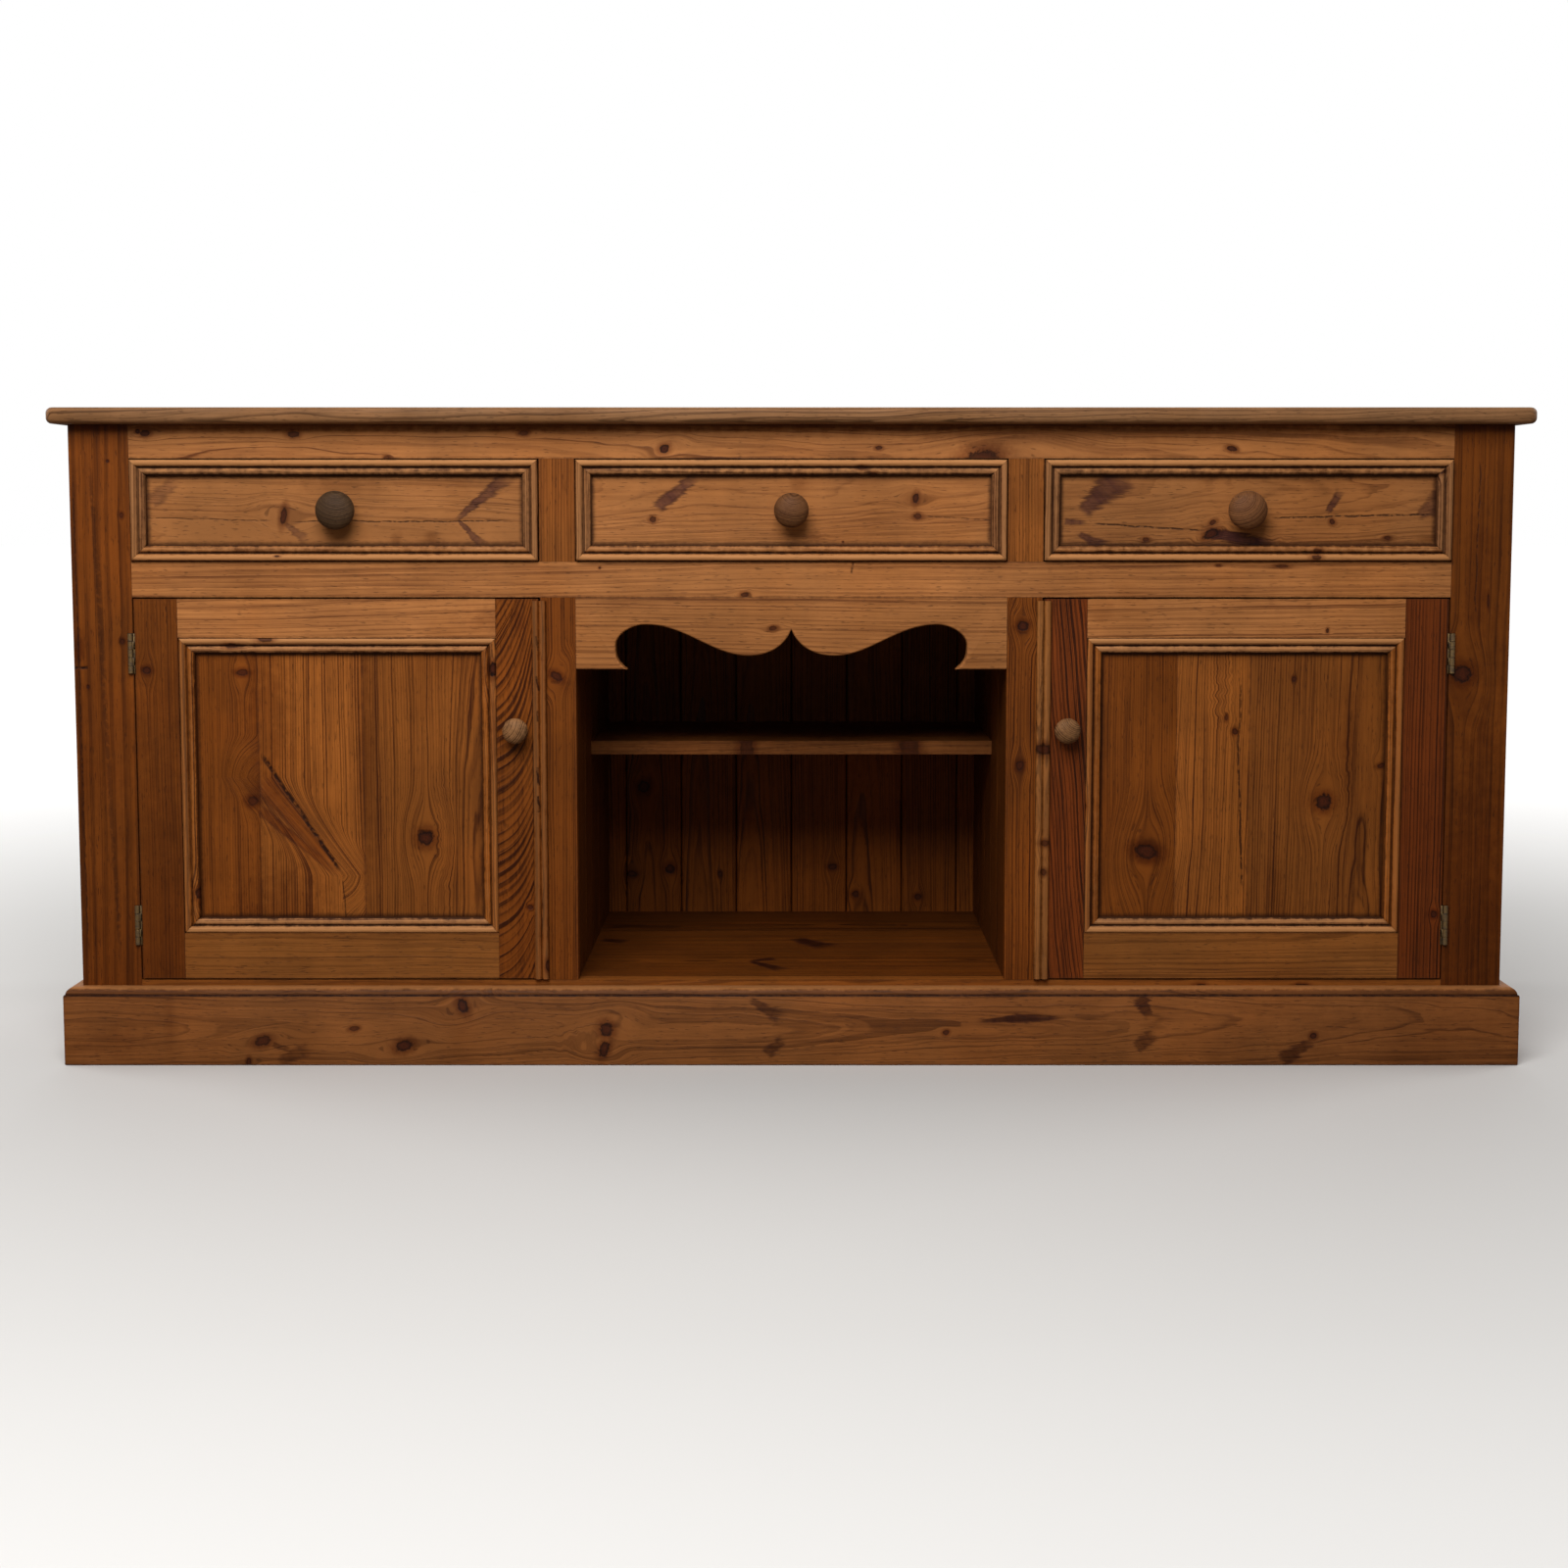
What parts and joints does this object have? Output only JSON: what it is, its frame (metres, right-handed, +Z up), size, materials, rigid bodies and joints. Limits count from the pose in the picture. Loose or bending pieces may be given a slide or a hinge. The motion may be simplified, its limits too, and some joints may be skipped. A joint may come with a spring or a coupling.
{
  "type": "dresser base",
  "caption": "Long low pine cupboard: a row of moulded drawers over panelled doors and an open bay with a scalloped apron, a shelf and a matchboarded back, on a plinth.",
  "frame": {"origin": "on the floor, under the middle of the whole object's box, knobs included", "axes": "+X to the right along the length as seen from the front, +Y to the back, +Z up"},
  "size_m": [1.83, 0.5114, 0.821],
  "materials": {
    "honey_pine": "waxed old pine, honey brown",
    "brown_pine": "waxed old pine, mid brown",
    "red_pine": "waxed old pine, red brown",
    "pale_pine": "waxed old pine, pale and worn",
    "raw_pine": "bare pine, dusty",
    "turned_pine": "turned pine, handled and dulled",
    "aged_brass": "dull aged brass"
  },
  "bodies": {
    "carcass": {"top_board": "honey_pine", "left_end_panel": "red_pine", "right_end_panel": "red_pine", "left_face_stile": "red_pine", "right_face_stile": "red_pine", "top_face_rail": "honey_pine", "middle_face_rail": "honey_pine", "bottom_face_rail": "honey_pine", "left_drawer_muntin": "brown_pine", "right_drawer_muntin": "brown_pine", "left_door_muntin": "brown_pine", "right_door_muntin": "brown_pine", "scalloped_apron": "pale_pine", "plinth_front": "honey_pine", "plinth_left": "brown_pine", "plinth_right": "brown_pine", "bottom_board": "brown_pine", "left_partition": "brown_pine", "right_partition": "brown_pine", "back_boarding": "brown_pine", "centre_shelf": "brown_pine", "left_cupboard_shelf": "raw_pine", "right_cupboard_shelf": "raw_pine", "drawer_deck": "raw_pine", "left_lower_hinge_frame_leaf": "aged_brass", "left_upper_hinge_frame_leaf": "aged_brass", "right_lower_hinge_frame_leaf": "aged_brass", "right_upper_hinge_frame_leaf": "aged_brass"},
    "left_drawer": {"left_drawer_front": "honey_pine", "left_drawer_moulding": "pale_pine", "left_drawer_knob": "turned_pine", "left_drawer_box": "raw_pine"},
    "centre_drawer": {"centre_drawer_front": "honey_pine", "centre_drawer_moulding": "pale_pine", "centre_drawer_knob": "turned_pine", "centre_drawer_box": "raw_pine"},
    "right_drawer": {"right_drawer_front": "honey_pine", "right_drawer_moulding": "pale_pine", "right_drawer_knob": "turned_pine", "right_drawer_box": "raw_pine"},
    "left_door": {"left_door_hinge_stile": "brown_pine", "left_door_closing_stile": "red_pine", "left_door_top_rail": "honey_pine", "left_door_bottom_rail": "honey_pine", "left_door_panel": "brown_pine", "left_door_moulding": "pale_pine", "left_door_closing_strip": "pale_pine", "left_door_knob": "turned_pine", "left_lower_hinge_door_leaf": "aged_brass", "left_upper_hinge_door_leaf": "aged_brass"},
    "right_door": {"right_door_hinge_stile": "brown_pine", "right_door_closing_stile": "red_pine", "right_door_top_rail": "honey_pine", "right_door_bottom_rail": "honey_pine", "right_door_panel": "brown_pine", "right_door_moulding": "pale_pine", "right_door_closing_strip": "pale_pine", "right_door_knob": "turned_pine", "right_lower_hinge_door_leaf": "aged_brass", "right_upper_hinge_door_leaf": "aged_brass"}
  },
  "joints": [
    {"name": "left_drawer_slide", "type": "slide", "parent": "carcass", "child": "left_drawer", "axis": [0, -1, 0], "range_m": [0, 0.33]},
    {"name": "centre_drawer_slide", "type": "slide", "parent": "carcass", "child": "centre_drawer", "axis": [0, -1, 0], "range_m": [0, 0.33]},
    {"name": "right_drawer_slide", "type": "slide", "parent": "carcass", "child": "right_drawer", "axis": [0, -1, 0], "range_m": [0, 0.33]},
    {"name": "left_door_hinge", "type": "hinge", "parent": "carcass", "child": "left_door", "pos_m": [-0.8225, -0.22485, 0.34625], "axis": [0, 0, -1], "range_deg": [0, 170]},
    {"name": "right_door_hinge", "type": "hinge", "parent": "carcass", "child": "right_door", "pos_m": [0.8225, -0.22485, 0.34625], "axis": [0, 0, 1], "range_deg": [0, 170]}
  ]
}
